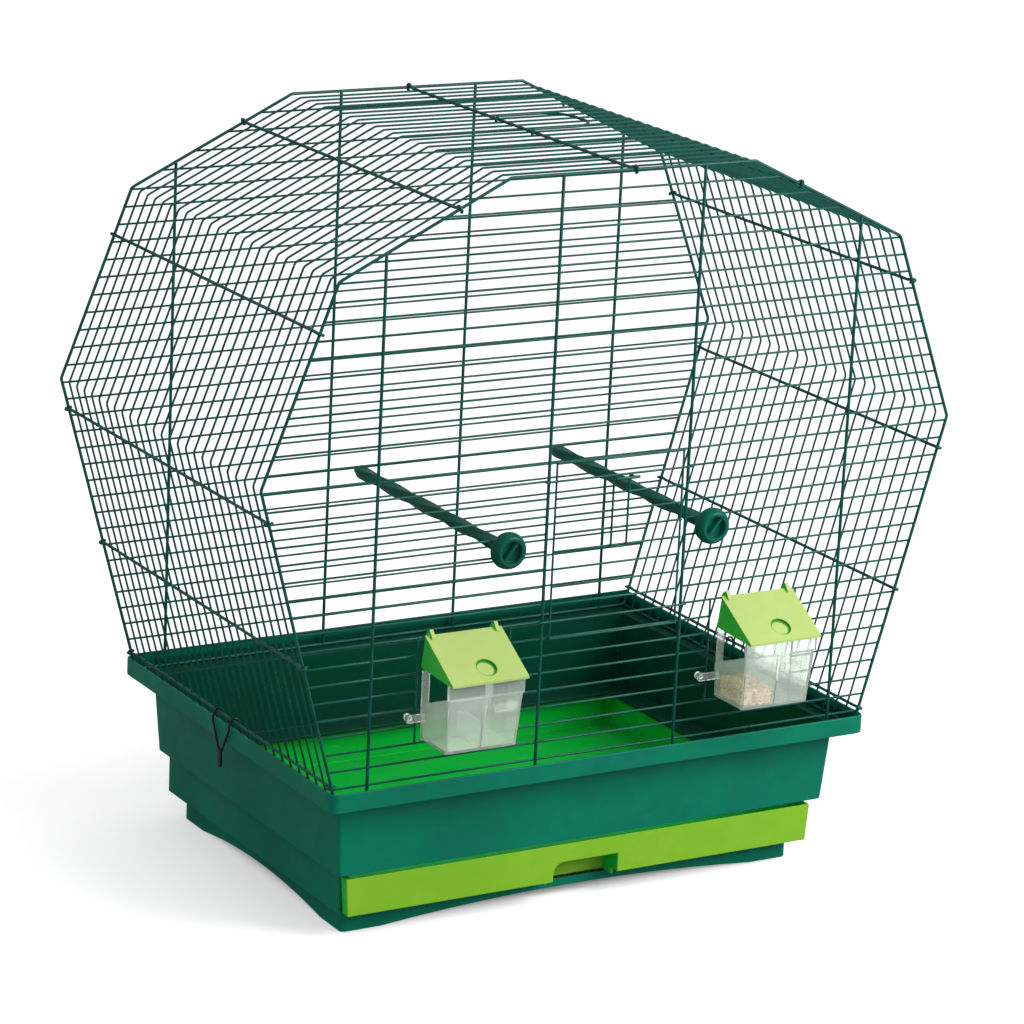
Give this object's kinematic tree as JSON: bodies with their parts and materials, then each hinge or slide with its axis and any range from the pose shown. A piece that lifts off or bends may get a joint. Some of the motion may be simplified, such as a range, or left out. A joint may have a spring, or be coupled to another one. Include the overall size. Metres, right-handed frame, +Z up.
{
  "type": "parakeet cage",
  "caption": "Wire bird cage with a faceted roof on a moulded tray, with a sliding door, litter drawer, outside feeders, perches and a carrying handle.",
  "frame": {"origin": "on the floor, under the middle of the overall box", "axes": "+Z up, +X to the right, the front with the door, feeders and drawer faces -Y"},
  "size_m": [0.5316, 0.35, 0.5155],
  "materials": {
    "wire_green": "glossy enamel",
    "tray_green": "satin moulded",
    "drawer_green": "satin moulded",
    "lid_green": "satin moulded",
    "clear_plastic": "clear",
    "perch_green": "satin moulded",
    "clip_steel": "dark plated"
  },
  "bodies": {
    "base": {"tray": "tray_green", "base_frame": "tray_green"},
    "litter_drawer": {"drawer": "drawer_green"},
    "wire_top": {"front_panel": "wire_green", "back_panel": "wire_green", "wrap_left_lower": "wire_green", "wrap_left_upper": "wire_green", "wrap_left_shoulder": "wire_green", "wrap_roof": "wire_green", "wrap_right_shoulder": "wire_green", "wrap_right_upper": "wire_green", "wrap_right_lower": "wire_green", "left_perch": "perch_green", "right_perch": "perch_green"},
    "door": {"front_door": "wire_green", "door_handle": "wire_green"},
    "handle": {"carry_handle": "wire_green"},
    "left_cup": {"left_feeder_cup": "clear_plastic"},
    "right_cup": {"right_feeder_cup": "clear_plastic"},
    "left_lid": {"left_feeder_lid": "lid_green"},
    "right_lid": {"right_feeder_lid": "lid_green"},
    "left_knob": {"left_perch_knob": "perch_green"},
    "right_knob": {"right_perch_knob": "perch_green"},
    "left_latch": {"left_clip": "clip_steel"},
    "right_latch": {"right_clip": "clip_steel"}
  },
  "joints": [
    {"name": "drawer_slide", "type": "slide", "parent": "base", "child": "litter_drawer", "axis": [0, -1, 0], "range_m": [0, 0.24]},
    {"name": "top_lift", "type": "slide", "parent": "base", "child": "wire_top", "axis": [0, 0, 1], "range_m": [0, 0.06]},
    {"name": "door_lift", "type": "slide", "parent": "wire_top", "child": "door", "axis": [0, 0, 1], "range_m": [0, 0.11]},
    {"name": "handle_fold", "type": "hinge", "parent": "wire_top", "child": "handle", "pos_m": [0, 0.017, 0.5118], "axis": [0, -1, 0], "range_deg": [0, 170]},
    {"name": "left_cup_pull", "type": "slide", "parent": "wire_top", "child": "left_cup", "axis": [0, -1, 0], "range_m": [0, 0.06]},
    {"name": "right_cup_pull", "type": "slide", "parent": "wire_top", "child": "right_cup", "axis": [0, -1, 0], "range_m": [0, 0.06]},
    {"name": "left_lid_hinge", "type": "hinge", "parent": "wire_top", "child": "left_lid", "pos_m": [-0.1145, -0.1348, 0.212], "axis": [-1, 0, 0], "range_deg": [0, 100]},
    {"name": "right_lid_hinge", "type": "hinge", "parent": "wire_top", "child": "right_lid", "pos_m": [0.1145, -0.1348, 0.212], "axis": [-1, 0, 0], "range_deg": [0, 100]},
    {"name": "left_knob_turn", "type": "hinge", "parent": "wire_top", "child": "left_knob", "pos_m": [-0.0857, -0.136, 0.266], "axis": [0, -1, 0], "range_deg": [0, 360]},
    {"name": "right_knob_turn", "type": "hinge", "parent": "wire_top", "child": "right_knob", "pos_m": [0.0719, -0.136, 0.266], "axis": [0, -1, 0], "range_deg": [0, 360]},
    {"name": "left_clip_hinge", "type": "hinge", "parent": "wire_top", "child": "left_latch", "pos_m": [-0.20732, 0.017, 0.118], "axis": [0, 1, 0], "range_deg": [0, 140]},
    {"name": "right_clip_hinge", "type": "hinge", "parent": "wire_top", "child": "right_latch", "pos_m": [0.20732, 0.017, 0.118], "axis": [0, -1, 0], "range_deg": [0, 140]}
  ]
}
